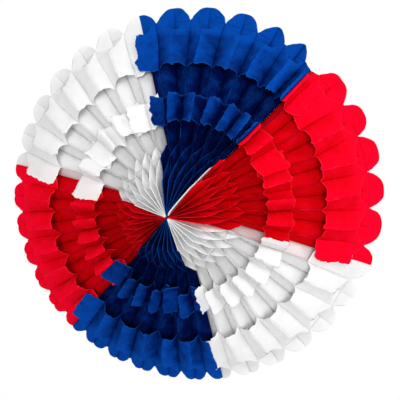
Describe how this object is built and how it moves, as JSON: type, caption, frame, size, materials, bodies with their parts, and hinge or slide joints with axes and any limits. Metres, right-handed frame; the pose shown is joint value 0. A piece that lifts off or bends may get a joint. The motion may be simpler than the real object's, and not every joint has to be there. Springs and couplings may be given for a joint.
{
  "type": "paper fan rosette",
  "caption": "Honeycomb tissue fan opened all the way round into a domed rosette with a scalloped rim, stepped rings of cells and blocks of blue, white and red",
  "frame": {"origin": "on the fan's axis, through the hub, in the plane that the rim rests on", "axes": "+Z is the axis and points out of the front, +X to the right of the front and +Y up it; the seam between the two covers stands 46 degrees round from +X towards +Y"},
  "size_m": [0.6178, 0.618, 0.1816],
  "materials": {
    "blue_tissue": "matte",
    "white_tissue": "matte",
    "red_tissue": "matte",
    "cover_card": "matte",
    "binding_thread": "matte"
  },
  "bodies": {
    "root": {"blue_upper_1": "blue_tissue", "blue_upper_2": "blue_tissue", "blue_upper_3": "blue_tissue", "blue_upper_4": "blue_tissue", "blue_upper_5": "blue_tissue", "blue_upper_6": "blue_tissue", "white_upper_1": "white_tissue", "white_upper_2": "white_tissue", "white_upper_3": "white_tissue", "white_upper_4": "white_tissue", "white_upper_5": "white_tissue", "white_upper_6": "white_tissue", "red_left_1": "red_tissue", "red_left_2": "red_tissue", "red_left_3": "red_tissue", "red_left_4": "red_tissue", "red_left_5": "red_tissue", "red_left_6": "red_tissue", "blue_lower_1": "blue_tissue", "blue_lower_2": "blue_tissue", "blue_lower_3": "blue_tissue", "blue_lower_4": "blue_tissue", "blue_lower_5": "blue_tissue", "blue_lower_6": "blue_tissue", "white_lower_1": "white_tissue", "white_lower_2": "white_tissue", "white_lower_3": "white_tissue", "white_lower_4": "white_tissue", "white_lower_5": "white_tissue", "white_lower_6": "white_tissue", "red_right_1": "red_tissue", "red_right_2": "red_tissue", "red_right_3": "red_tissue", "red_right_4": "red_tissue", "red_right_5": "red_tissue", "red_right_6": "red_tissue", "front_cover": "cover_card", "back_cover": "cover_card", "binding_thread": "binding_thread"}
  },
  "joints": []
}
